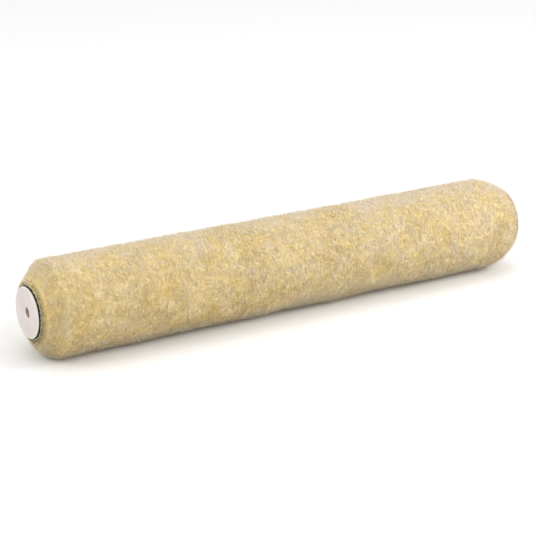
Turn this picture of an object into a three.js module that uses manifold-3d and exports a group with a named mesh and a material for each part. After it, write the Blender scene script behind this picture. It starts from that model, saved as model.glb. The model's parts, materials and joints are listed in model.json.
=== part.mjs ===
// A paint roller cover for an 18 inch frame: a spiral-wound core that carries a thick nap, closed at each end by
// a push-in plug with a hole for the frame's rod.
// Millimetres, +Z up. The core's axis is X, and the origin is on the axis, half way along.
import * as THREE from "three";
import Module from "manifold-3d";

const wasm = await Module();
wasm.setup();

// ---- Driving dimensions ----
const coreLength = 457.2;
const coreBore = 38.1;
const plyThickness = 0.55;
const glueGap = 0.05; // between one layer of the wall and the next
const filmThickness = 0.25;
const backingThickness = 1.0;
const napHeight = 16.65; // as the nap lies, from the backing to the flats of its outside
const bareCore = 1.5; // core that shows past the fabric at each end
const layerSides = 24; // sides of the core and the fabric round it
const napSides = 16; // few enough that the nap's flat underneath is as wide as where a soft nap rests

const plyTurns = 3; // turns of each ply's strip along the core
const backingTurns = 4;
const buttGap = 0.7; // between the edges of neighbouring turns, measured round the core
const seamSteps = 20; // straight steps in one turn of a seam

const rodHole = 8.4; // for a 5/16 inch rod
const holeMouth = 11;
const mouthDepth = 1.3;
const flangeDiameter = 41.4;
const flangeFace = 1.6; // flange's outer face, past the end of the core
const flangeInside = -0.3;
const flangeSeat = 0.1; // between the flange and the end of the core
const rimRound = 0.7;
const skirtDepth = 18.5;
const skirtDiameter = 36.6;
const skirtWall = 1.4;
const skirtLeadIn = 2;
const hubDiameter = 13.4;
const plugSides = 36;
const webCount = 6;
const webThickness = 1.2;
const webDepth = 12;
const ribCount = 8;
const ribRadius = 0.5; // a crush rib, half sunk in the skirt
const ribReach = 18.75; // ribs' outer radius, just inside the flats of the bore
const ribStart = 2;
const ribLength = 12;

// ---- Radii of the layers, from the bore outwards ----
const plyRadii = [0, 1, 2].map((n) => {
  const inner = coreBore / 2 + n * (plyThickness + glueGap);
  return [inner, inner + plyThickness];
});
const filmInner = plyRadii[2][1] + glueGap;
const backingInner = filmInner + filmThickness + glueGap;
const backingOuter = backingInner + backingThickness;
const napRoot = backingOuter + glueGap;
const napOuter = (backingOuter + napHeight) / Math.cos(Math.PI / napSides);
const fabricHalf = coreLength / 2 - bareCore;

// ---- Solids ----
function toSolid(geometry) {
  const triangles = geometry.index ? geometry.toNonIndexed() : geometry;
  const count = triangles.attributes.position.count;
  const mesh = new wasm.Mesh({
    numProp: 3,
    vertProperties: new Float32Array(triangles.attributes.position.array),
    triVerts: Uint32Array.from({ length: count }, (_, i) => i),
  });
  mesh.merge();
  return new wasm.Manifold(mesh);
}

function toGeometry(solid) {
  const { numProp, vertProperties, triVerts } = solid.getMesh();
  const positions = new Float32Array(triVerts.length * 3);
  triVerts.forEach((vertex, i) => {
    positions.set(vertProperties.subarray(vertex * numProp, vertex * numProp + 3), i * 3);
  });
  const geometry = new THREE.BufferGeometry();
  geometry.setAttribute("position", new THREE.BufferAttribute(positions, 3));
  geometry.computeVertexNormals();
  return geometry;
}

// Turns a closed outline of [radius, distance along X] points about X, with a flat facing straight down.
function turned(outline, sides) {
  const points = [...outline, outline[0]].map(([radius, along]) => new THREE.Vector2(radius, along));
  return new THREE.LatheGeometry(points, sides, Math.PI / sides).rotateZ(-Math.PI / 2);
}

function tube(inner, outer, halfLength) {
  const outline = [[inner, -halfLength], [outer, -halfLength], [outer, halfLength], [inner, halfLength]];
  return turned(outline, layerSides);
}

// A tube wound from one strip, whose edges leave a narrow helical gap where they butt.
function woundTube(inner, outer, halfLength, turns, startAngle) {
  const overcut = 0.6;
  const length = 2 * halfLength + 2;
  const height = outer - inner + 2 * overcut;
  const blade = new THREE.BoxGeometry(length, buttGap, height, turns * seamSteps, 1, 1);
  blade.translate(0, 0, (inner + outer) / 2);
  const corners = blade.attributes.position;
  const corner = new THREE.Vector3();
  const axis = new THREE.Vector3(1, 0, 0);
  for (let i = 0; i < corners.count; i++) {
    corner.fromBufferAttribute(corners, i);
    const angle = startAngle + (corner.x / (2 * halfLength)) * turns * 2 * Math.PI;
    corner.applyAxisAngle(axis, angle);
    corners.setXYZ(i, corner.x, corner.y, corner.z);
  }
  return toGeometry(toSolid(tube(inner, outer, halfLength)).subtract(toSolid(blade)));
}

// Half of the nap's outline, from the axis to the outside: a bevelled end with a rounded shoulder.
function napEnd() {
  const lip = 1.8;
  const bevelLength = 11;
  const bevelTop = 2.4;
  const path = new THREE.Path();
  path.moveTo(0, fabricHalf);
  path.lineTo(napRoot + lip, fabricHalf);
  path.lineTo(napOuter - bevelTop, fabricHalf - bevelLength);
  path.quadraticCurveTo(napOuter, fabricHalf - bevelLength - bevelTop, napOuter, fabricHalf - 2 * bevelLength);
  return path.getPoints(4).map((point) => [point.x, point.y]);
}

function nap() {
  const right = napEnd();
  const left = right.map(([radius, along]) => [radius, -along]);
  const whole = turned([...left, ...right.reverse()], napSides);
  const bore = turned([[0, -coreLength], [napRoot, -coreLength], [napRoot, coreLength], [0, coreLength]], layerSides);
  return toGeometry(toSolid(whole).subtract(toSolid(bore)));
}

// The plug's outline, with distances measured outwards from the end of the core.
function plugOutline() {
  const flangeRadius = flangeDiameter / 2;
  const skirtRadius = skirtDiameter / 2;
  const path = new THREE.Path();
  path.moveTo(rodHole / 2, -skirtDepth);
  path.lineTo(hubDiameter / 2, -skirtDepth);
  path.lineTo(hubDiameter / 2, flangeInside);
  path.lineTo(skirtRadius - skirtWall, flangeInside);
  path.lineTo(skirtRadius - skirtWall, -skirtDepth);
  path.lineTo(skirtRadius - skirtWall / 2, -skirtDepth);
  path.lineTo(skirtRadius, -skirtDepth + skirtLeadIn);
  path.lineTo(skirtRadius, flangeSeat);
  path.lineTo(flangeRadius, flangeSeat);
  path.lineTo(flangeRadius, flangeFace - rimRound);
  path.quadraticCurveTo(flangeRadius, flangeFace, flangeRadius - rimRound, flangeFace);
  path.lineTo(holeMouth / 2, flangeFace);
  path.quadraticCurveTo(rodHole / 2, flangeFace, rodHole / 2, flangeFace - mouthDepth);
  return path.getPoints(3).map((point) => [point.x, point.y]);
}

// A plug about the origin, with its flange towards +X and the end of the core at X = 0.
function plug() {
  let solid = toSolid(turned(plugOutline(), plugSides));
  const webInner = hubDiameter / 2 - 0.4;
  const webOuter = skirtDiameter / 2 - skirtWall / 2;
  const web = new THREE.BoxGeometry(webDepth, webThickness, webOuter - webInner);
  web.translate(flangeInside + 0.2 - webDepth / 2, 0, (webInner + webOuter) / 2);
  const rib = new THREE.CylinderGeometry(ribRadius, ribRadius, ribLength, 8).rotateZ(Math.PI / 2);
  rib.translate(-ribStart - ribLength / 2, 0, ribReach - ribRadius);
  for (let i = 0; i < webCount; i++) {
    solid = solid.add(toSolid(web.clone().rotateX((i * 2 * Math.PI) / webCount)));
  }
  for (let i = 0; i < ribCount; i++) {
    solid = solid.add(toSolid(rib.clone().rotateX(((i + 0.5) * 2 * Math.PI) / ribCount)));
  }
  return toGeometry(solid);
}

// ---- Materials ----
const surface = (color, roughness) => new THREE.MeshStandardMaterial({ color, roughness, metalness: 0 });
const coreWall = surface(0x14120c, 0.55);
const adhesive = surface(0x8a7f5c, 0.4);
const knitBacking = surface(0xb9b08a, 0.9);
const napFibre = surface(0xdac08e, 0.95);
const plugPlastic = surface(0xe2d8d3, 0.6);

// ---- Assembly ----
const cover = new THREE.Group();

function place(name, geometry, material) {
  const mesh = new THREE.Mesh(geometry, material);
  mesh.name = name;
  cover.add(mesh);
  return mesh;
}

// The plies' seams are a third of a turn apart, so that no two butt joints lie over each other.
["core_ply_inner", "core_ply_middle", "core_ply_outer"].forEach((name, n) => {
  const [inner, outer] = plyRadii[n];
  const startAngle = (n * 2 * Math.PI) / 3;
  place(name, woundTube(inner, outer, coreLength / 2, plyTurns, startAngle), coreWall);
});
place("bond_film", tube(filmInner, filmInner + filmThickness, fabricHalf), adhesive);
place("knit_backing", woundTube(backingInner, backingOuter, fabricHalf, backingTurns, Math.PI / 5), knitBacking);
place("nap", nap(), napFibre);

place("end_plug_right", plug(), plugPlastic).position.x = coreLength / 2;
const leftPlug = place("end_plug_left", plug(), plugPlastic);
leftPlug.position.x = -coreLength / 2;
leftPlug.rotation.z = Math.PI;

export default cover;
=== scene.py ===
"""Looks of a paint roller cover: a fluffy knitted nap on a dark spiral-wound core, with a plug in each end."""
import json
import math

import bmesh
import bpy
import numpy as np
from mathutils import Matrix, Vector

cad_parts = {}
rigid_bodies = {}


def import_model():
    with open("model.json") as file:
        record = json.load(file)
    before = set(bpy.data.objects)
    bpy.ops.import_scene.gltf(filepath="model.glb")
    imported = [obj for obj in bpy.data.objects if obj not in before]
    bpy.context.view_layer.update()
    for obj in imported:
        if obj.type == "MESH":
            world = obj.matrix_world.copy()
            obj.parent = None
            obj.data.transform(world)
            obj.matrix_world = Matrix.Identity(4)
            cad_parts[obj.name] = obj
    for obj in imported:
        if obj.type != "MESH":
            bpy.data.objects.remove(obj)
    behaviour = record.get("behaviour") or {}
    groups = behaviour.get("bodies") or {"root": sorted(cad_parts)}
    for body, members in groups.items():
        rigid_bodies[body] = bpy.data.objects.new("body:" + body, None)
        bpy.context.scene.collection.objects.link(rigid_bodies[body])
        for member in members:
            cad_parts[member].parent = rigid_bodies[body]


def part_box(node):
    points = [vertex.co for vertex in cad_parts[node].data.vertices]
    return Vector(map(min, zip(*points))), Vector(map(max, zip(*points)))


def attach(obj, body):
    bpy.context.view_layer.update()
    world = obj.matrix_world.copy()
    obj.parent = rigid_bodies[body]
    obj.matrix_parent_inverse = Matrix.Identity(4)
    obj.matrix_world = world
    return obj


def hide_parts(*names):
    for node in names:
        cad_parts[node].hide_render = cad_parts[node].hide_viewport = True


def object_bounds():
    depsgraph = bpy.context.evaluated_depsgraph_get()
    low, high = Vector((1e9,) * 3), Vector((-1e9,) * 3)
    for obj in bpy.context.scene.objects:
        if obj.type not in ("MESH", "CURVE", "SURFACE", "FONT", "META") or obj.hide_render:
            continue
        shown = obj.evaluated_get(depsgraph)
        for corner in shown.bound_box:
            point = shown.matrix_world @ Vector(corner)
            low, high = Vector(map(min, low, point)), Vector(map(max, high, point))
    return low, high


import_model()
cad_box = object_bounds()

MM = 0.001
TURN = 2 * math.pi

# ---- Camera: where it stands, and where the middle of the cover falls in its view ----
AZIMUTH, ELEVATION = math.radians(-30.9), math.radians(19.6)
LENS_MM, SENSOR_MM = 134.9, 36
TO_RIGHT, UPWARDS, AWAY = 9.9 * MM, 4.8 * MM, 1670 * MM

# ---- Sizes taken from the frame ----
LAYER_SIDES = 24  # the CAD's layers are 24-sided, with flats to the front and underneath


def layer_radius(node):
    """Outer radius of a layer, from corner to corner of its CAD solid."""
    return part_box(node)[1].y / math.cos(math.pi / LAYER_SIDES)


CORE_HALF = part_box("core_ply_outer")[1].x
PLY_OUTER = [layer_radius(f"core_ply_{ply}") for ply in ("inner", "middle", "outer")]
FABRIC_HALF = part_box("knit_backing")[1].x
BACKING_OUTER = layer_radius("knit_backing")
FLANGE_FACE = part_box("end_plug_right")[1].x - CORE_HALF  # outwards from the core's end
FLOOR = cad_box[0].z

# ---- Sizes of the layers ----
PLY_WALL = 0.55 * MM
GLUE_LINE = 0.05 * MM
PLY_TURNS = 3
BACKING_TURNS = 4
BACKING_WALL = 1.0 * MM
BUTT_GAP = 0.35 * MM  # between the edges of a strip's neighbouring turns

# ---- Plugs ----
FLANGE_RADIUS = 20.7 * MM
FLANGE_SEAT, FLANGE_INSIDE = 0.1 * MM, -0.3 * MM  # its back, over the core's end and inside the skirt
RIM_ROUND = 0.7 * MM
SKIRT_RADIUS, SKIRT_WALL, SKIRT_DEPTH = 18.3 * MM, 1.4 * MM, 18.5 * MM
SKIRT_LEAD_IN = 2.0 * MM
HUB_RADIUS = 6.7 * MM
HOLE_RADIUS, MOUTH_RADIUS, MOUTH_DEPTH = 4.2 * MM, 5.5 * MM, 1.3 * MM  # the rod hole and its chamfered mouth
SINK = 0.05 * MM  # depth of a faint sink mark in the face, over the skirt's wall
MOULD_RADIUS = 0.25 * MM  # of the small corners
WEB_COUNT, RIB_COUNT = 6, 16

# ---- Nap ----
NAP_RADIUS = 39.5 * MM  # to the tips of most fibres
NAP_ROOT = BACKING_OUTER + GLUE_LINE
UNDERCOAT_DEPTH = 2.2 * MM  # from the tips down to the dense part of the nap
FIBRE_COUNT = 300000
FIBRE_BANDS = 16  # pieces that the fibres are split into along the cover
STRAY_SHARE = 0.2  # of the fibres, which stand up out of the rest
TUFT_SIZE = 5.2 * MM, 5.2 * MM  # along the cover and round it
LOCK_SIZE = 1.2 * MM, 5.0 * MM  # the same, for the fine locks that the fibres gather into
OVERHANG = 2.5 * MM  # of the nap past the fabric at the right end, where it has splayed
EDGE_ZONE = 6 * MM  # how far from the fabric's edges the painted shade on the fibres' roots, and their yellower tone, reach
SHEEN_FACING = math.radians(22.5)  # angle from the top of a paler stripe of painted sheen along the cover, with another opposite
SHEEN_SPREAD = 0.5  # of each stripe, as the sine of an angle to its sides

# Soft mounds and hollows of the nap: where along X (mm), at what angle from the top (degrees), how long (mm), how
# wide (degrees) and how high (mm).
MOUNDS = [
    (-220, 200, 8, 70, 2.2),
    (-220, 40, 6, 60, -0.7),
    (-211, 10, 9, 60, 0.8),
    (-150, 15, 60, 60, 0.5),
    (-175, 203, 45, 50, 0.8),
    (-25, 203, 10, 40, 0.9),
    (42, 203, 14, 40, 1.1),
    (205, 190, 40, 60, 0.6),
]


# ---- Meshes ----
def new_object(name, points, faces, materials, shades=None):
    """An object from an array of points and an array of faces that all have as many corners."""
    mesh = bpy.data.meshes.new(name)
    points, faces = np.asarray(points, np.float32), np.asarray(faces, np.int32)
    mesh.vertices.add(len(points))
    mesh.vertices.foreach_set("co", points.ravel())
    mesh.loops.add(faces.size)
    mesh.polygons.add(len(faces))
    mesh.polygons.foreach_set("loop_start", np.arange(0, faces.size, faces.shape[1], dtype=np.int32))
    mesh.polygons.foreach_set("vertices", faces.ravel())
    for material in materials:
        mesh.materials.append(material)
    if shades is not None:
        mesh.polygons.foreach_set("material_index", np.asarray(shades, np.int32))
    mesh.update(calc_edges=True)
    mesh.validate()
    mesh.shade_smooth()
    piece = bpy.data.objects.new(name, mesh)
    bpy.context.collection.objects.link(piece)
    return piece


def grid_faces(rows, columns, wrap_rows=False, wrap_columns=False):
    """Quads over a grid of points, numbered row by row."""
    row = np.arange(rows if wrap_rows else rows - 1)[:, None]
    column = np.arange(columns if wrap_columns else columns - 1)[None, :]
    next_row, next_column = (row + 1) % rows, (column + 1) % columns
    corners = [
        row * columns + column,
        row * columns + next_column,
        next_row * columns + next_column,
        next_row * columns + column,
    ]
    return np.stack([np.broadcast_to(c, (len(row), column.size)) for c in corners], -1).reshape(-1, 4)


def end_caps(rows, columns, base=0):
    """The first and last rows of a tube of points, as two faces that close it."""
    first = tuple(range(base, base + columns))
    last = tuple(range(base + (rows - 1) * columns, base + rows * columns))
    return [first[::-1], last]


def around(radius, angle):
    """The Y and Z of points at an angle about X, measured from straight up."""
    return radius * np.sin(angle), radius * np.cos(angle)


def revolve(outline, steps):
    """Points and quads of a closed (x, radius) outline turned about X."""
    outline = np.asarray(outline, float)
    angle = np.arange(steps)[:, None] * TURN / steps
    y, z = around(outline[None, :, 1], angle)
    x = np.broadcast_to(outline[None, :, 0], y.shape)
    return np.stack([x, y, z], -1).reshape(-1, 3), grid_faces(steps, len(outline), True, True)


def arc(x, radius, size, start, stop, steps=6):
    """Points of an arc of an outline round (x, radius), with angles in degrees from +X towards outwards."""
    angles = np.radians(np.linspace(start, stop, steps + 1))
    return [(x + size * math.cos(a), radius + size * math.sin(a)) for a in angles]


def face_outwards(piece):
    """Turns the piece's faces outwards and keeps its corners crisp."""
    mesh = bmesh.new()
    mesh.from_mesh(piece.data)
    bmesh.ops.recalc_face_normals(mesh, faces=mesh.faces)
    mesh.to_mesh(piece.data)
    mesh.free()
    piece.data.shade_smooth()
    piece.data.set_sharp_from_angle(angle=math.radians(40))


# ---- Materials ----
def srgb(red, green, blue):
    """A linear colour from one of 0 to 255."""
    def linear(value):
        value /= 255
        return value / 12.92 if value <= 0.04045 else ((value + 0.055) / 1.055) ** 2.4
    return linear(red), linear(green), linear(blue), 1.0


class Surface:
    """A material on one Principled shader, with short ways to wire up its nodes."""

    def __init__(self, name, color, roughness):
        self.material = bpy.data.materials.new(name)
        self.material.use_nodes = True
        self.tree = self.material.node_tree
        self.shader = self.tree.nodes["Principled BSDF"]
        self.shader.inputs["Base Color"].default_value = color
        self.shader.inputs["Roughness"].default_value = roughness
        self.material.diffuse_color = color

    def node(self, kind, **settings):
        made = self.tree.nodes.new(kind)
        for key, value in settings.items():
            if key in made.inputs:
                made.inputs[key].default_value = value
            else:
                setattr(made, key, value)
        return made

    def link(self, source, target):
        self.tree.links.new(source, target)

    def noise(self, scale, detail=3.0, roughness=0.55):
        """Noise from 0 to 1 in the piece's own space, with about as many bumps to the metre as its scale."""
        place = self.node("ShaderNodeTexCoord")
        pattern = self.node("ShaderNodeTexNoise", Scale=scale, Detail=detail, Roughness=roughness)
        self.link(place.outputs["Object"], pattern.inputs["Vector"])
        return pattern.outputs["Fac"]

    def ramp(self, source, stops):
        """A colour ramp of (position, colour) stops."""
        made = self.node("ShaderNodeValToRGB")
        while len(made.color_ramp.elements) < len(stops):
            made.color_ramp.elements.new(0.5)
        for element, (position, color) in zip(made.color_ramp.elements, stops):
            element.position = position
            element.color = color
        self.link(source, made.inputs["Fac"])
        return made.outputs["Color"]

    def mix(self, factor, first, second, blend="MIX"):
        """A blend of two colours by a factor; each may be a value or another node's output."""
        made = self.node("ShaderNodeMix", data_type="RGBA", blend_type=blend)
        for socket, value in ((made.inputs[0], factor), (made.inputs[6], first), (made.inputs[7], second)):
            if isinstance(value, bpy.types.NodeSocket):
                self.link(value, socket)
            else:
                socket.default_value = value
        return made.outputs[2]

    def spread(self, source, low, high):
        """The source, from 0 to 1, as a number from low to high."""
        made = self.node("ShaderNodeMapRange")
        made.inputs["To Min"].default_value, made.inputs["To Max"].default_value = low, high
        self.link(source, made.inputs["Value"])
        return made.outputs["Result"]

    def bump(self, source, strength, distance):
        made = self.node("ShaderNodeBump", Strength=strength, Distance=distance)
        self.link(source, made.inputs["Height"])
        self.link(made.outputs["Normal"], self.shader.inputs["Normal"])


def plug_material(name, darker, lighter):
    surface = Surface(name, darker, 0.5)
    clouds = surface.ramp(surface.noise(scale=55), [(0.3, darker), (0.7, lighter)])
    surface.link(clouds, surface.shader.inputs["Base Color"])
    roughness = surface.spread(surface.noise(scale=260, detail=4), low=0.4, high=0.58)
    surface.link(roughness, surface.shader.inputs["Roughness"])
    surface.bump(surface.noise(scale=1900, detail=2), strength=0.25, distance=0.05 * MM)
    return surface.material


PLASTIC, HIGHLIGHT, SHADED_BORE = range(3)


def plug_materials():
    """The moulded plastic; its rim and the lip of the rod hole's mouth, lighter as a painted highlight; and the
    rod hole, darker and browner inside as painted shade.
    """
    return [
        plug_material("plug_plastic", srgb(205, 195, 190), srgb(215, 206, 202)),
        # lighter, as a painted highlight on the flange's rim and the lip of the hole's mouth
        plug_material("plug_rim_painted_highlight", srgb(222, 214, 206), srgb(232, 226, 219)),
        # darker and browner, as painted shade inside the rod hole
        plug_material("plug_bore_painted_shade", srgb(176, 152, 136), srgb(202, 182, 168)),
    ]


def core_material():
    surface = Surface("core_wall", srgb(18, 15, 11), 0.5)
    stain = surface.ramp(surface.noise(scale=90, detail=4), [(0.35, srgb(12, 10, 8)), (0.7, srgb(30, 25, 17))])
    surface.link(stain, surface.shader.inputs["Base Color"])
    roughness = surface.spread(surface.noise(scale=420, detail=4), low=0.42, high=0.7)
    surface.link(roughness, surface.shader.inputs["Roughness"])
    surface.shader.inputs["Specular IOR Level"].default_value = 0.3
    surface.bump(surface.noise(scale=800, detail=4), strength=0.4, distance=0.12 * MM)
    return surface.material


def adhesive_material():
    surface = Surface("adhesive", srgb(62, 52, 34), 0.5)
    haze = surface.ramp(surface.noise(scale=300), [(0.3, srgb(44, 36, 24)), (0.75, srgb(84, 72, 48))])
    surface.link(haze, surface.shader.inputs["Base Color"])
    surface.bump(surface.noise(scale=700, detail=2), strength=0.5, distance=0.1 * MM)
    return surface.material


def backing_material(name, darker, lighter):
    surface = Surface(name, darker, 0.9)
    yarn = surface.ramp(surface.noise(scale=600), [(0.3, darker), (0.7, lighter)])
    surface.link(yarn, surface.shader.inputs["Base Color"])
    surface.shader.inputs["Sheen Weight"].default_value = 0.3
    surface.bump(surface.noise(scale=2200), strength=0.6, distance=0.15 * MM)
    return surface.material


def undercoat_material():
    """Blotches and fine streaks of the fibres' colours, darkened near the fabric's edges as painted shade."""
    surface = Surface("nap_undercoat", srgb(214, 190, 138), 0.95)
    blotches = surface.ramp(
        surface.noise(scale=75),
        [(0.3, srgb(242, 219, 152)), (0.5, srgb(244, 224, 170)), (0.72, srgb(245, 229, 190))],
    )
    streaks = surface.ramp(
        surface.noise(scale=900, detail=4, roughness=0.7),
        [(0.3, srgb(222, 214, 196)), (0.65, srgb(255, 255, 255))],
    )
    nap_color = surface.mix(0.75, blotches, streaks, "MULTIPLY")
    place = surface.node("ShaderNodeTexCoord")
    split = surface.node("ShaderNodeSeparateXYZ")
    surface.link(place.outputs["Object"], split.inputs["Vector"])
    along = surface.node("ShaderNodeMath", operation="ABSOLUTE")
    surface.link(split.outputs["X"], along.inputs[0])
    edge = surface.node("ShaderNodeMapRange")
    edge.inputs["From Min"].default_value = FABRIC_HALF - 3.0 * MM
    edge.inputs["From Max"].default_value = FABRIC_HALF - 0.3 * MM
    surface.link(along.outputs["Value"], edge.inputs["Value"])
    # Painted shade: darker near the fabric's edges.
    edge_shaded = surface.mix(edge.outputs["Result"], nap_color, srgb(144, 130, 84))
    surface.link(edge_shaded, surface.shader.inputs["Base Color"])
    surface.shader.inputs["Specular IOR Level"].default_value = 0.1
    surface.bump(surface.noise(scale=1100, detail=5, roughness=0.7), strength=0.8, distance=0.7 * MM)
    return surface.material


# From the yellow of the lower parts and of the locks dimmed as painted shade, to the pinkish cream of the palest
# tips.
FIBRE_SHADES = [
    srgb(253, 226, 132),
    srgb(252, 227, 147),
    srgb(250, 228, 162),
    srgb(248, 229, 175),
    srgb(246, 230, 187),
    srgb(246, 232, 199),
    srgb(246, 233, 210),
    srgb(245, 234, 220),
]
TONES = len(FIBRE_SHADES)
PAINTED_SHADE_FACTORS = 0.86, 0.85, 0.83  # what is left of red, green and blue in the copies of the shades dimmed as painted shade, for the locks picked to look deeper
OTHER_SHADES = [
    srgb(234, 220, 186),  # stray fibres that stand out of the nap, greyer as painted shade for the fuzz along the outline
    srgb(118, 108, 74),  # roots by the cut edge, darkened as painted shade
    srgb(170, 158, 112),  # fibres by the cut edge in lighter painted shade
]
STRAY, DEEP_EDGE_SHADE, EDGE_SHADE = range(2 * TONES, 2 * TONES + len(OTHER_SHADES))


def fibre_materials():
    """The shades, then the same shades dimmed as painted shade, then the other shades: a fibre's tone is its
    material's number.
    """
    made = []
    shaded_copies = [(*(part * painted_dim for part, painted_dim in zip(color, PAINTED_SHADE_FACTORS)), 1.0) for color in FIBRE_SHADES]
    for n, color in enumerate(FIBRE_SHADES + shaded_copies + OTHER_SHADES):
        surface = Surface(f"nap_fibre_{n:02d}", color, 0.8)
        surface.shader.inputs["Specular IOR Level"].default_value = 0.08
        made.append(surface.material)
    return made


# ---- Plugs ----
def plug_outline():
    """The plug's (distance outwards from the core's end, radius) outline, with moulded corner radii."""
    soft, fillet = MOULD_RADIUS, 2 * MOULD_RADIUS
    foot, skirt_inside = -SKIRT_DEPTH + soft, SKIRT_RADIUS - SKIRT_WALL
    return [
        *arc(foot, HOLE_RADIUS + soft, soft, 270, 180, 3),
        *arc(foot, HUB_RADIUS - soft, soft, 180, 90, 3),
        *arc(FLANGE_INSIDE - fillet, HUB_RADIUS + fillet, fillet, -90, 0, 3),
        *arc(FLANGE_INSIDE - fillet, skirt_inside - fillet, fillet, 0, 90, 3),
        *arc(foot, skirt_inside + soft, soft, 270, 180, 3),
        (-SKIRT_DEPTH, SKIRT_RADIUS - SKIRT_WALL / 2),
        (-SKIRT_DEPTH + SKIRT_LEAD_IN, SKIRT_RADIUS),
        (FLANGE_SEAT - fillet, SKIRT_RADIUS),
        *arc(FLANGE_SEAT - soft, SKIRT_RADIUS + soft, soft, 270, 360, 3)[1:],
        *arc(FLANGE_SEAT + soft, FLANGE_RADIUS - soft, soft, 180, 90, 3),
        *arc(FLANGE_FACE - RIM_ROUND, FLANGE_RADIUS - RIM_ROUND, RIM_ROUND, 90, 0, 8),
        (FLANGE_FACE, SKIRT_RADIUS + 0.2 * MM),
        (FLANGE_FACE - SINK, SKIRT_RADIUS - SKIRT_WALL / 2),
        (FLANGE_FACE, skirt_inside - 0.2 * MM),
        (FLANGE_FACE, MOUTH_RADIUS + 3 * MM),
        *arc(FLANGE_FACE - soft, MOUTH_RADIUS + 0.1 * MM, soft, 0, -45, 3),
        *arc(FLANGE_FACE - MOUTH_DEPTH - soft, HOLE_RADIUS + soft, soft, -45, -90, 3),
    ]


def plug_web(material):
    """One of the webs between hub and skirt: a plate with its inner edge scooped."""
    top, bottom, half = 17.6 * MM, 6.3 * MM, 0.6 * MM
    start, depth, scoop = -0.1 * MM, -13 * MM, 3 * MM
    steps = np.linspace(0, 1, 9)
    free_edge = [(depth + scoop * math.sin(math.pi * t), bottom + (top - bottom) * t) for t in steps]
    outline = np.array([(start, top), (start, bottom), *free_edge])
    points = np.concatenate([np.insert(outline, 1, side, axis=1) for side in (-half, half)])
    count = len(outline)
    mesh = bpy.data.meshes.new("web")
    sides = [(i, (i + 1) % count, count + (i + 1) % count, count + i) for i in range(count)]
    ends = [tuple(range(count))[::-1], tuple(range(count, 2 * count))]
    mesh.from_pydata(points.tolist(), [], sides + ends)
    mesh.materials.append(material)
    return mesh


def crush_rib():
    """One crush rib: a slim ridge that rises quickly behind the flange and fades out at its inner end."""
    start, stop, base = -1.5 * MM, -15.5 * MM, 17.9 * MM
    thinnest, rise, half_width = 0.05 * MM, 0.88 * MM, 0.55 * MM
    rows = []
    for t in np.linspace(0, 1, 11):
        swell = min(1.0, (1 - t) * 3.3) ** 0.6 * min(1.0, 0.25 + t * 8)
        height = rise * swell + thinnest
        width = half_width * (0.55 + 0.45 * swell)
        section = [(width * math.cos(a), base + height * math.sin(a)) for a in np.linspace(0, math.pi, 9)]
        rows.append([(start + (stop - start) * t, y, z) for y, z in section])
    count = len(rows[0])
    mesh = bpy.data.meshes.new("rib")
    faces = grid_faces(len(rows), count, wrap_columns=True).tolist()
    faces += end_caps(len(rows), count)
    mesh.from_pydata([p for row in rows for p in row], [], faces)
    return mesh


def make_plug(name, materials):
    """A plug about the origin, with its flange towards +X, its webs and ribs joined on."""
    material = materials[PLASTIC]
    points, faces = revolve(plug_outline(), 144)
    piece = new_object(name, points, faces, [material])
    face_outwards(piece)
    extras = bpy.data.collections.new(name + "_extras")
    bpy.context.scene.collection.children.link(extras)
    for mesh, count, offset in ((plug_web(material), WEB_COUNT, 0.0), (crush_rib(), RIB_COUNT, 0.5)):
        for n in range(count):
            copy = bpy.data.objects.new(f"{mesh.name}_{n}", mesh)
            copy.matrix_world = Matrix.Rotation((n + offset) * TURN / count, 4, "X")
            extras.objects.link(copy)
            face_outwards(copy)
    join = piece.modifiers.new("join", "BOOLEAN")
    join.operation, join.solver = "UNION", "EXACT"
    join.operand_type, join.collection = "COLLECTION", extras
    bpy.context.view_layer.update()
    finished = piece.evaluated_get(bpy.context.evaluated_depsgraph_get())
    joined = bpy.data.meshes.new_from_object(finished)
    piece.modifiers.clear()
    piece.data = joined
    joined.name = name
    for copy in list(extras.objects):
        bpy.data.objects.remove(copy)
    bpy.data.collections.remove(extras)
    joined.materials.clear()
    for material in materials:
        joined.materials.append(material)
    for face in joined.polygons:
        out, radius = face.center.x, math.hypot(face.center.y, face.center.z)
        # Painted highlight on the flange's rim and the lip of the hole's mouth; painted shade down the rod hole.
        in_highlight = out > 0.3 * MM and (radius > FLANGE_RADIUS - 1.0 * MM or radius < MOUTH_RADIUS - 0.2 * MM)
        in_bore = out < FLANGE_FACE - MOUTH_DEPTH and radius < HOLE_RADIUS + 0.8 * MM
        face.material_index = SHADED_BORE if in_bore else HIGHLIGHT if in_highlight else PLASTIC
    joined.shade_smooth()
    joined.set_sharp_from_angle(angle=math.radians(32))
    return piece


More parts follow.
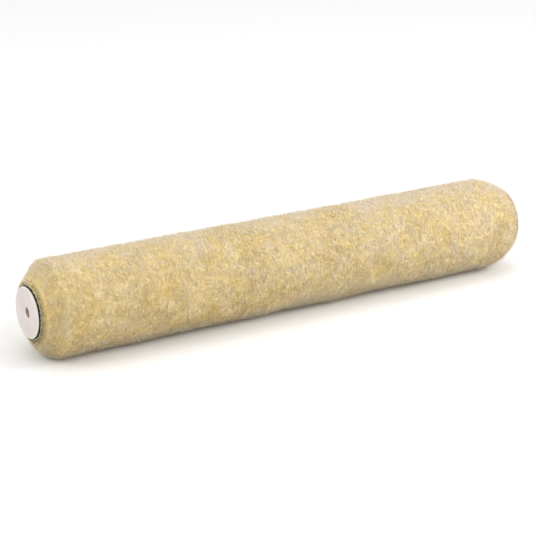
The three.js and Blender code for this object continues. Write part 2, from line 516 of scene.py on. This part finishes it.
# ---- Core and fabric strips ----
def wound_strip(name, inner, outer, half_length, turns, start_angle, material):
    """A tube wound from one strip whose edges butt with a narrow gap, cut square at the cover's ends."""
    pitch = 2 * half_length / turns
    width = pitch - BUTT_GAP
    per_turn = 96
    blunt = 0.002  # turns cut off each end of the strip, so that it doesn't run out to a point
    first = -1 + BUTT_GAP / pitch + blunt
    sections = np.linspace(first, turns - blunt, int((turns - first) * per_turn) + 1)
    angle = start_angle + sections * TURN
    low = np.clip(-half_length + pitch * sections, -half_length, half_length)
    high = np.clip(-half_length + pitch * sections + width, -half_length, half_length)
    soften = np.minimum(0.06 * MM, (high - low) * 0.3)
    corners = [
        (low + soften, inner), (low, inner + soften), (low, outer - soften), (low + soften, outer),
        (high - soften, outer), (high, outer - soften), (high, inner + soften), (high - soften, inner),
    ]
    rows = []
    for x, radius in corners:
        y, z = around(radius, angle)
        rows.append(np.stack([x, y, z], -1))
    points = np.stack(rows, 1).reshape(-1, 3)
    count = len(corners)
    mesh = bpy.data.meshes.new(name)
    faces = grid_faces(len(sections), count, wrap_columns=True).tolist()
    faces += end_caps(len(sections), count)
    mesh.from_pydata(points.tolist(), [], faces)
    mesh.materials.append(material)
    piece = bpy.data.objects.new(name, mesh)
    bpy.context.collection.objects.link(piece)
    face_outwards(piece)
    return piece


def make_film(name, inner, outer, material, rng):
    """The adhesive film, with uneven edges where it squeezed out."""
    steps, rows = 240, 5
    waves = 5, 9, 14, 23, 31  # round each edge
    angle = np.arange(steps) * TURN / steps
    uneven = sum(rng.uniform(0.04, 0.12) * MM * np.sin(k * angle + rng.uniform(0, TURN)) for k in waves)
    reach = FABRIC_HALF + 0.15 * MM + uneven
    along = np.concatenate([np.linspace(-1, 1, rows), np.linspace(1, -1, rows)])
    radius = np.repeat([outer, inner], rows)
    y, z = around(radius[None, :], angle[:, None])
    x = along[None, :] * reach[:, None]
    points = np.stack([x, y, z], -1).reshape(-1, 3)
    piece = new_object(name, points, grid_faces(steps, 2 * rows, True, True), [material])
    face_outwards(piece)
    return piece


def make_edge_loops(name, side, material, rng):
    """The cut edge of the knit: a ring of little yarn loops standing out of the backing's end."""
    count, bends, sides = 84, 10, 6
    yarn = 0.24 * MM  # radius
    middle = BACKING_OUTER - 0.42 * MM
    half_width = 0.34 * TURN / count
    points, faces = [], []
    for n in range(count):
        centre = (n + rng.uniform(-0.15, 0.15)) * TURN / count
        reach = rng.uniform(0.45, 1.15) * MM
        lift = rng.uniform(-0.15, 0.3) * MM
        route = []
        for t in np.linspace(0, math.pi, bends):
            angle = centre - half_width * math.cos(t)
            x = side * (FABRIC_HALF - 0.3 * MM + reach * math.sin(t))
            route.append(np.array([x, *around(middle + lift * math.sin(t), angle)]))
        base = len(points)
        for i, here in enumerate(route):
            ahead = route[min(i + 1, bends - 1)] - route[max(i - 1, 0)]
            ahead /= np.linalg.norm(ahead)
            outwards = here * (0, 1, 1)
            outwards /= np.linalg.norm(outwards)
            across = np.cross(ahead, outwards)
            for k in range(sides):
                turn = k * TURN / sides
                points.append(here + yarn * (math.cos(turn) * outwards + math.sin(turn) * across))
        faces += (grid_faces(bends, sides, wrap_columns=True) + base).tolist()
        faces += end_caps(bends, sides, base)
    mesh = bpy.data.meshes.new(name)
    mesh.from_pydata([tuple(p) for p in points], [], faces)
    mesh.materials.append(material)
    piece = bpy.data.objects.new(name, mesh)
    bpy.context.collection.objects.link(piece)
    face_outwards(piece)
    return piece


# ---- Nap ----
class NapSurface:
    """The surface that the nap's tips reach, as an outline turned about X. A place on it is a distance along the
    outline from the left end and an angle about X."""

    def __init__(self):
        left_shoulder, right_shoulder = -FABRIC_HALF + 30 * MM, FABRIC_HALF - 40 * MM
        right_end = FABRIC_HALF + OVERHANG
        x = np.concatenate([
            np.linspace(-FABRIC_HALF, left_shoulder, 240),
            np.linspace(left_shoulder, right_shoulder, 400)[1:],
            np.linspace(right_shoulder, FABRIC_HALF, 300)[1:],
            np.linspace(FABRIC_HALF, right_end, 20)[1:],
        ])
        radius = np.minimum(self.bevel(x + FABRIC_HALF), self.dome(right_end - x))
        self.x = np.concatenate([x[:1], x, [right_end, FABRIC_HALF]])
        self.radius = np.concatenate([[NAP_ROOT], radius, [NAP_ROOT + 1.2 * MM, NAP_ROOT]])
        self.distance = np.concatenate([[0], np.cumsum(np.hypot(np.diff(self.x), np.diff(self.radius)))])
        self.length = self.distance[-1]

    def bevel(self, inwards):
        """Radius near the left end, which is cut at a slant with a soft shoulder."""
        slope, start, soft = 0.95, 25.5 * MM, 0.6 * MM
        slant = start + slope * inwards
        return NAP_RADIUS - soft * np.logaddexp(0, (NAP_RADIUS - slant) / soft)

    def dome(self, inwards):
        """Radius near the right end, which has been rubbed round."""
        start, reach, power = 27.2 * MM, 26 * MM, 1.5
        left = np.clip(1 - inwards / reach, 0, 1)
        return start + (NAP_RADIUS - start) * (1 - left**power)

    def outline(self, distance):
        return np.interp(distance, self.distance, self.x), np.interp(distance, self.distance, self.radius)

    def normal(self, distance):
        """The outline's outward normal, as (x, radius) parts, averaged over a few millimetres."""
        step = 1.5 * MM
        x0, r0 = self.outline(distance - step)
        x1, r1 = self.outline(distance + step)
        size = np.hypot(x1 - x0, r1 - r0)
        return -(r1 - r0) / size, (x1 - x0) / size

    def point(self, distance, angle, height=0.0):
        """Points at a height over the surface."""
        distance = np.clip(distance, 0, self.length)
        x, radius = self.outline(distance)
        nx, nr = self.normal(distance)
        y, z = around(radius + nr * height, angle)
        return np.stack([x + nx * height, y, z], -1)


class Tufts:
    """A jittered grid of tufts over the nap. Each point belongs to the tuft whose centre is nearest."""

    def __init__(self, surface, size, rng):
        self.rows = round(surface.length / size[0])
        self.columns = round(TURN * NAP_RADIUS / size[1])
        self.row_size = surface.length / self.rows
        self.column_size = TURN * NAP_RADIUS / self.columns
        shape = (self.rows + 2, self.columns)
        self.jitter = rng.uniform(-0.42, 0.42, (*shape, 2))  # of each centre, in parts of its row and column
        self.height = rng.normal(0, 1, shape)
        self.lean = rng.normal(0, 1, (*shape, 2))
        self.shade = rng.normal(0, 1, shape)

    def nearest(self, distance, angle):
        """Each point's tuft, as (row, column), and the way to its centre along the cover and round it."""
        u, v = distance / self.row_size, (angle % TURN) * NAP_RADIUS / self.column_size
        best = np.full(u.shape, np.inf)  # square of the way to the nearest centre so far
        row, column = np.zeros(u.shape, int), np.zeros(u.shape, int)
        along, across = np.zeros(u.shape), np.zeros(u.shape)
        for i in (-1, 0, 1):
            for j in (-1, 0, 1):
                r = np.clip(np.floor(u).astype(int) + i, -1, self.rows)
                c = np.floor(v).astype(int) + j
                jitter = self.jitter[r + 1, c % self.columns]
                du = r + 0.5 + jitter[..., 0] - u
                dv = c + 0.5 + jitter[..., 1] - v
                gap = du**2 + dv**2
                closer = gap < best
                best = np.where(closer, gap, best)
                row, column = np.where(closer, r + 1, row), np.where(closer, c % self.columns, column)
                along, across = np.where(closer, du, along), np.where(closer, dv, across)
        return (row, column), along * self.row_size, across * self.column_size


def smooth_noise(surface, size, rng):
    """Smooth noise from -1 to 1, with bumps of a size, as a function of distance and angle that meets itself all
    round."""
    rows = round(surface.length / size) + 2
    columns = max(3, round(TURN * NAP_RADIUS / size))
    grid = rng.uniform(-1, 1, (rows + 1, columns))

    def noise(distance, angle):
        u = np.clip(distance / surface.length, 0, 1) * (rows - 1)
        v = (angle % TURN) / TURN * columns
        i, j = np.floor(u).astype(int), np.floor(v).astype(int) % columns
        fu, fv = u - i, v - np.floor(v)
        fu, fv = fu * fu * (3 - 2 * fu), fv * fv * (3 - 2 * fv)
        k = (j + 1) % columns
        low = grid[i, j] * (1 - fv) + grid[i, k] * fv
        high = grid[i + 1, j] * (1 - fv) + grid[i + 1, k] * fv
        return low * (1 - fu) + high * fu

    return noise


class Nap:
    """The nap's shape and patterns, shared by the dense undercoat and the fibres that stand out of it."""

    def __init__(self, rng):
        self.surface = NapSurface()
        self.tufts = Tufts(self.surface, TUFT_SIZE, rng)
        self.locks = Tufts(self.surface, LOCK_SIZE, rng)
        self.swell = smooth_noise(self.surface, 34 * MM, rng)
        self.lumps = smooth_noise(self.surface, 12 * MM, rng)
        self.sweep_along = smooth_noise(self.surface, 16 * MM, rng)
        self.sweep_round = smooth_noise(self.surface, 16 * MM, rng)
        self.blotch = smooth_noise(self.surface, 11 * MM, rng)
        self.patch = smooth_noise(self.surface, 40 * MM, rng)

    def inwards(self, distance):
        """How far a place is from the nearer of the fabric's edges."""
        return np.minimum(distance, self.surface.length - distance)

    def taper(self, distance):
        """From 0 at the fabric's edges to 1 well inside them."""
        return np.clip(self.inwards(distance) / (9 * MM), 0, 1)

    def mounds(self, distance, angle):
        x = self.surface.outline(distance)[0]
        total = np.zeros(np.broadcast(distance, angle).shape)
        for middle, facing, length, spread, height in MOUNDS:
            along = (x - middle * MM) / (length * MM)
            round_it = 2 * np.sin((angle - math.radians(facing)) / 2) / math.radians(spread)
            total += height * MM * np.exp(-(along**2) - round_it**2)
        return total

    def painted_sheen(self, angle):
        """From 0 to 1 in the middle of either of the paler stripes of painted sheen, along the top and the
        underside.
        """
        return np.exp(-((np.sin(angle - SHEEN_FACING) / SHEEN_SPREAD) ** 2))

    def crest(self, distance, angle):
        """From 0 to 1 on the slant over the left plug, which is yellower, and brighter as painted light."""
        return np.exp(-((distance / (19 * MM)) ** 2)) * (0.5 + 0.5 * np.cos(angle))

    def height(self, distance, angle):
        """How far the tips stand over or under the nominal surface."""
        wide = 0.5 * MM * self.swell(distance, angle) + 0.25 * MM * self.lumps(distance, angle)
        return (wide + self.mounds(distance, angle)) * self.taper(distance)

    def above_floor(self, points):
        """Flattens the nap where it rests, easing into the flat."""
        floor, ease = FLOOR + 0.05 * MM, 1.2 * MM
        z = points[:, 2] - floor
        points[:, 2] = floor + np.where(z < ease, ease * np.exp(np.minimum(z - ease, 0) / ease), z)
        return points


def make_undercoat(nap, material):
    """The dense part of the nap: a ring whose outside is tufted."""
    rows, columns, inner_rows = 398, 230, 10
    distance = np.linspace(0, nap.surface.length, rows)[:, None] + np.zeros((1, columns))
    angle = np.arange(columns)[None, :] * TURN / columns + np.zeros((rows, 1))
    tuft, along, across = nap.tufts.nearest(distance, angle)
    mound = 1 - (along**2 + across**2) / (0.3 * TUFT_SIZE[0] * TUFT_SIZE[1])
    rise = 0.2 * MM * mound + 0.1 * MM * nap.tufts.height[tuft]
    height = nap.height(distance, angle) + (rise - UNDERCOAT_DEPTH) * nap.taper(distance)
    outside = nap.surface.point(distance, angle, height).reshape(rows, columns, 3)
    y, z = around(NAP_ROOT, angle[:1])
    along_bore = np.linspace(FABRIC_HALF, -FABRIC_HALF, inner_rows + 2)[1:-1]
    inside = [np.stack([np.full_like(y, x), y, z], -1) for x in along_bore]
    points = np.concatenate([outside, *inside]).reshape(-1, 3)
    faces = grid_faces(rows + inner_rows, columns, True, True)
    piece = new_object("nap_undercoat", nap.above_floor(points), faces, [material])
    face_outwards(piece)
    piece.data.set_sharp_from_angle(angle=math.pi)  # soft all over
    return piece


def fibre_places(nap, rng):
    """Distances and angles of the fibres, evenly over the nap's area and sorted along the cover."""
    fine = np.linspace(0, nap.surface.length, 4000)
    area = np.cumsum(nap.surface.outline(fine)[1])
    distance = np.interp(rng.uniform(0, area[-1], FIBRE_COUNT), area, fine)
    return np.sort(distance), rng.uniform(0, TURN, FIBRE_COUNT)


def unit(vectors):
    return vectors / np.linalg.norm(vectors, axis=1)[:, None]


def fibre_tips(nap, distance, angle, tufts, locks, wild, stray, rng):
    """Where the fibres end, and how far they stand out of the nap. They gather into locks combed round the cover,
    and the strays stand more upright."""
    tuft, tuft_along, tuft_across = tufts
    lock, lock_along, lock_across = locks
    lean = nap.locks.lean[lock]
    along = 0.1 * tuft_along + 0.75 * lock_along + MM * (
        0.35 * lean[:, 0] + 0.3 * nap.sweep_along(distance, angle) + 0.2 * wild[0]
    )
    across = 0.1 * tuft_across + 0.2 * lock_across + MM * (
        2.0 + 1.2 * lean[:, 1] + 1.2 * nap.sweep_round(distance, angle) + 0.3 * wild[1]
    )
    upright = np.where(stray, 0.4, 1.0)
    along, across = upright * along, upright * across
    taper, margin = nap.taper(distance), 0.4 * MM
    tip_distance = np.clip(distance + along * (0.4 + 0.6 * taper), margin, nap.surface.length - margin)
    height = MM * (0.08 * nap.tufts.height[tuft] + 0.22 * nap.locks.height[lock])
    drop = np.abs(rng.normal(0, 0.9 * MM, FIBRE_COUNT))
    lift = np.where(stray, rng.uniform(0.2, 1.8, FIBRE_COUNT) * MM, -drop) * (0.35 + 0.65 * taper)
    rise = nap.height(distance, angle) + height * taper + lift
    tip = nap.surface.point(tip_distance, angle + across / NAP_RADIUS, rise)
    droop = np.exp(-distance / (3 * MM)) * np.exp(-((2 * np.sin((angle + 0.3) / 2) / 0.9) ** 2))
    tip[:, 0] -= 2.2 * MM * droop  # over the core's bare left end, where the nap hangs at the top
    return tip, lift


def fibre_roots(nap, distance, angle, standing, rng):
    """Where the fibres start, inside the undercoat and clear of the backing."""
    spot = nap.surface.point(distance, angle, nap.height(distance, angle))
    taper, margin = nap.taper(distance), 0.2 * MM
    depth = (UNDERCOAT_DEPTH + rng.uniform(0.4, 1.6, FIBRE_COUNT) * MM) * (0.45 + 0.55 * taper)
    root = spot - standing * depth[:, None]
    radius = np.hypot(root[:, 1], root[:, 2])
    root[:, 1:] *= np.maximum(radius, NAP_ROOT + margin)[:, None] / radius[:, None]
    root[:, 0] = np.clip(root[:, 0], -FABRIC_HALF + margin, FABRIC_HALF - margin)
    return root


def fibre_points(root, bend, tip, stray, rng):
    """Each fibre's seven points: three round its root, three farther along its curve, and its tip."""
    ahead = unit(tip - root)
    side = unit(np.cross(ahead, rng.normal(0, 1, (FIBRE_COUNT, 3))))
    other = np.cross(ahead, side)
    thick = rng.uniform(0.08, 0.15, FIBRE_COUNT) * np.where(stray, 0.45, 1.0) * MM
    rings = []
    for t, width in ((0.0, 1.0), (0.68, 0.8)):
        centre = (1 - t) ** 2 * root + 2 * t * (1 - t) * bend + t**2 * tip
        for k in range(3):
            turn = k * TURN / 3
            rings.append(centre + width * thick[:, None] * (math.cos(turn) * side + math.sin(turn) * other))
    return np.stack([*rings, tip], 1)


def fibre_faces():
    """One fibre's triangles, from its root to its tip, and how many of them are in its lower part."""
    lower, upper = [(0, 2, 1)], []
    for a, b in ((0, 1), (1, 2), (2, 0)):
        lower += [(a, b, b + 3), (a, b + 3, a + 3)]
        upper += [(a + 3, b + 3, 6)]
    return np.array(lower + upper), len(lower)


def fibre_shades(nap, distance, angle, tuft, lock, lift, rng):
    """The numbers of each fibre's materials, for its lower part and for its tip, which is paler."""
    inwards = nap.inwards(distance)
    blotch, patch = nap.blotch(distance, angle), nap.patch(distance, angle)
    crest = nap.crest(distance, angle)
    tone = (
        blotch
        + 0.6 * patch
        + 0.8 * nap.tufts.shade[tuft]
        + 0.15 * (lift / MM + 0.7)  # paler the farther the fibre stands out
        + 0.9 * nap.surface.outline(distance)[0] / FABRIC_HALF  # and towards the right end
        + 2.2 * nap.painted_sheen(angle)
        - 2.0 * np.exp(-inwards / EDGE_ZONE)
    )
    cloud = 0.7 * (blotch + patch) + 1.6 * crest
    # Painted shade: locks picked by noise get the dimmed copies of the shades, fewer where the crest is painted
    # brighter.
    painted_dim = 0.8 * nap.locks.shade[lock] + rng.normal(0, 0.6, distance.shape) + cloud < -0.35
    middle = 5.2 + 0.9 * (tone - 1.7 * crest) - 1.7 * painted_dim  # the locks dimmed as painted shade are also made yellower
    lower = np.clip(np.round(middle), 0, TONES - 1).astype(int) + TONES * painted_dim
    upper = np.clip(np.round(middle + 0.9), 0, TONES - 1).astype(int) + TONES * painted_dim
    # Painted shade on the fibres by the fabric's cut edges, heaviest on the underside and towards the left end.
    underside = 0.12 + 0.88 * (0.5 - 0.5 * np.cos(angle))
    chance = rng.uniform(0, 1, distance.shape) / underside  # the painted shade is heaviest on the underside
    fall = (inwards / EDGE_ZONE) ** 1.5
    edge_shaded = chance < 0.8 * np.exp(-fall * 2.0) + 0.15 * np.exp(-distance / (14 * MM))
    deep_shaded = edge_shaded & (chance < 0.3 * np.exp(-fall * 5))
    lower = np.where(edge_shaded, EDGE_SHADE, lower)
    upper = np.where(edge_shaded & (inwards < 0.5 * EDGE_ZONE), EDGE_SHADE, upper)
    lower, upper = np.where(deep_shaded, DEEP_EDGE_SHADE, lower), np.where(deep_shaded, DEEP_EDGE_SHADE, upper)
    loose = (lift > 0) & ~edge_shaded
    # fewer of the greyer strays on the crest, which is painted brighter
    loose &= rng.uniform(0, 1, distance.shape) > 0.8 * crest
    return np.where(loose, STRAY, lower), np.where(loose, STRAY, upper)


def make_fibres(nap, materials, rng):
    """Tapering fibres in fine locks: each starts in the undercoat, bends towards its lock and ends near the
    surface."""
    distance, angle = fibre_places(nap, rng)
    tufts, locks = nap.tufts.nearest(distance, angle), nap.locks.nearest(distance, angle)
    wild = rng.normal(0, 1, (4, FIBRE_COUNT))
    stray = rng.uniform(0, 1, FIBRE_COUNT) < STRAY_SHARE
    tip, lift = fibre_tips(nap, distance, angle, tufts, locks, wild, stray, rng)

    nx, nr = nap.surface.normal(distance)
    radial = np.stack([np.zeros_like(angle), *around(1.0, angle)], -1)
    normal = np.stack([nx, *around(nr, angle)], -1)
    standing = unit(0.5 * normal + 0.7 * radial)
    root = fibre_roots(nap, distance, angle, standing, rng)
    round_it = np.cross(normal, (1.0, 0.0, 0.0))
    curl = MM * (0.4 * wild[2][:, None] * round_it + 0.4 * wild[3][:, None] * np.cross(round_it, normal))
    bend = root + 0.62 * np.linalg.norm(tip - root, axis=1)[:, None] * standing + curl

    points = fibre_points(root, bend, tip, stray, rng)
    pattern, lower_faces = fibre_faces()
    lower, upper = fibre_shades(nap, distance, angle, tufts[0], locks[0], lift, rng)
    shades = np.repeat(np.stack([lower, upper], 1), (lower_faces, len(pattern) - lower_faces), axis=1)

    made = []
    for n, band in enumerate(np.array_split(np.arange(FIBRE_COUNT), FIBRE_BANDS)):
        block = nap.above_floor(points[band].reshape(-1, 3))
        faces = (np.arange(len(band))[:, None, None] * points.shape[1] + pattern).reshape(-1, 3)
        made.append(new_object(f"nap_fibres_{n + 1:02d}", block, faces, materials, shades[band].ravel()))
    return made


# ---- Stage ----
def make_camera():
    right = Vector((math.cos(AZIMUTH), math.sin(AZIMUTH), 0))
    back = Vector((
        math.sin(AZIMUTH) * math.cos(ELEVATION),
        -math.cos(AZIMUTH) * math.cos(ELEVATION),
        math.sin(ELEVATION),
    ))
    up = back.cross(right)
    camera = bpy.data.objects.new("camera", bpy.data.cameras.new("camera"))
    camera.data.lens = LENS_MM
    camera.data.sensor_width = SENSOR_MM
    place = -TO_RIGHT * right - UPWARDS * up + AWAY * back
    turn = Matrix((right, up, back)).transposed().to_4x4()
    camera.matrix_world = Matrix.Translation(place) @ turn
    bpy.context.collection.objects.link(camera)
    bpy.context.scene.camera = camera


def make_floor():
    half = 12.0
    points = [(-half, -half, FLOOR), (half, -half, FLOOR), (half, half, FLOOR), (-half, half, FLOOR)]
    surface = Surface("floor", (0.86, 0.86, 0.86, 1), 0.9)
    surface.shader.inputs["Specular IOR Level"].default_value = 0.1
    piece = new_object("floor", points, [(0, 1, 2, 3)], [surface.material])


def make_light(name, place, target, size, power):
    """A white round softbox that faces its target."""
    lamp = bpy.data.lights.new(name, "AREA")
    lamp.shape, lamp.size, lamp.energy = "DISK", size, power
    light = bpy.data.objects.new(name, lamp)
    place = Vector(place)
    facing = (place - Vector(target)).to_track_quat("Z", "Y")
    light.matrix_world = Matrix.Translation(place) @ facing.to_matrix().to_4x4()
    bpy.context.collection.objects.link(light)


def make_lights():
    world = bpy.data.worlds.new("world")
    world.use_nodes = True
    background = world.node_tree.nodes["Background"]
    background.inputs["Color"].default_value = (1, 1, 1, 1)
    background.inputs["Strength"].default_value = 0.93
    bpy.context.scene.world = world
    make_light("softbox_above", place=(-0.1, 0.2, 1.6), target=(0, 0, 0), size=1.6, power=4.3)
    make_light("softbox_left", place=(-1.5, 0.0, 1.3), target=(-0.05, 0, 0), size=1.0, power=6.6)
    make_light("softbox_right", place=(0.95, -0.75, 0.65), target=(0.15, 0, 0), size=0.7, power=9.5)


# ---- Assembly ----
bpy.context.scene.view_settings.view_transform = "Standard"
make_camera()
make_floor()
make_lights()
rng = np.random.default_rng(18)

plastic = plug_materials()
for node, body, facing in (("end_plug_left", "left_plug", -1), ("end_plug_right", "right_plug", 1)):
    plug = make_plug(node + "_moulded", plastic)
    turn = Matrix.Rotation(math.pi if facing < 0 else 0.0, 4, "Z")
    plug.data.transform(Matrix.Translation((facing * CORE_HALF, 0, 0)) @ turn)
    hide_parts(node)
    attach(plug, body)

core_wall = core_material()
for n, (ply, outer) in enumerate(zip(("inner", "middle", "outer"), PLY_OUTER)):
    node, start_angle = "core_ply_" + ply, n * TURN / 3
    strip = wound_strip(node + "_strip", outer - PLY_WALL, outer, CORE_HALF, PLY_TURNS, start_angle, core_wall)
    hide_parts(node)
    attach(strip, "cover")

film_inner = PLY_OUTER[2] + GLUE_LINE
film = make_film("bond_film_layer", film_inner, layer_radius("bond_film"), adhesive_material(), rng)
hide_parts("bond_film")
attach(film, "cover")

# The ground knit is painted dark, as painted shade in the gaps between the loops of the cut edge.
shaded_ground_knit = backing_material("knit_backing", srgb(104, 96, 70), srgb(136, 126, 96))
edge_yarn = backing_material("knit_edge_yarn", srgb(196, 190, 166), srgb(240, 236, 220))
backing_inner = BACKING_OUTER - BACKING_WALL
backing = wound_strip(
    "knit_backing_strip", backing_inner, BACKING_OUTER, FABRIC_HALF, BACKING_TURNS, TURN / 10, shaded_ground_knit
)
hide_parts("knit_backing")
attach(backing, "cover")
for side, name in ((-1, "left"), (1, "right")):
    loops = make_edge_loops(f"knit_edge_loops_{name}", side, edge_yarn, rng)
    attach(loops, "cover")

nap = Nap(rng)
undercoat = make_undercoat(nap, undercoat_material())
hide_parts("nap")
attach(undercoat, "cover")
for fibres in make_fibres(nap, fibre_materials(), rng):
    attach(fibres, "cover")
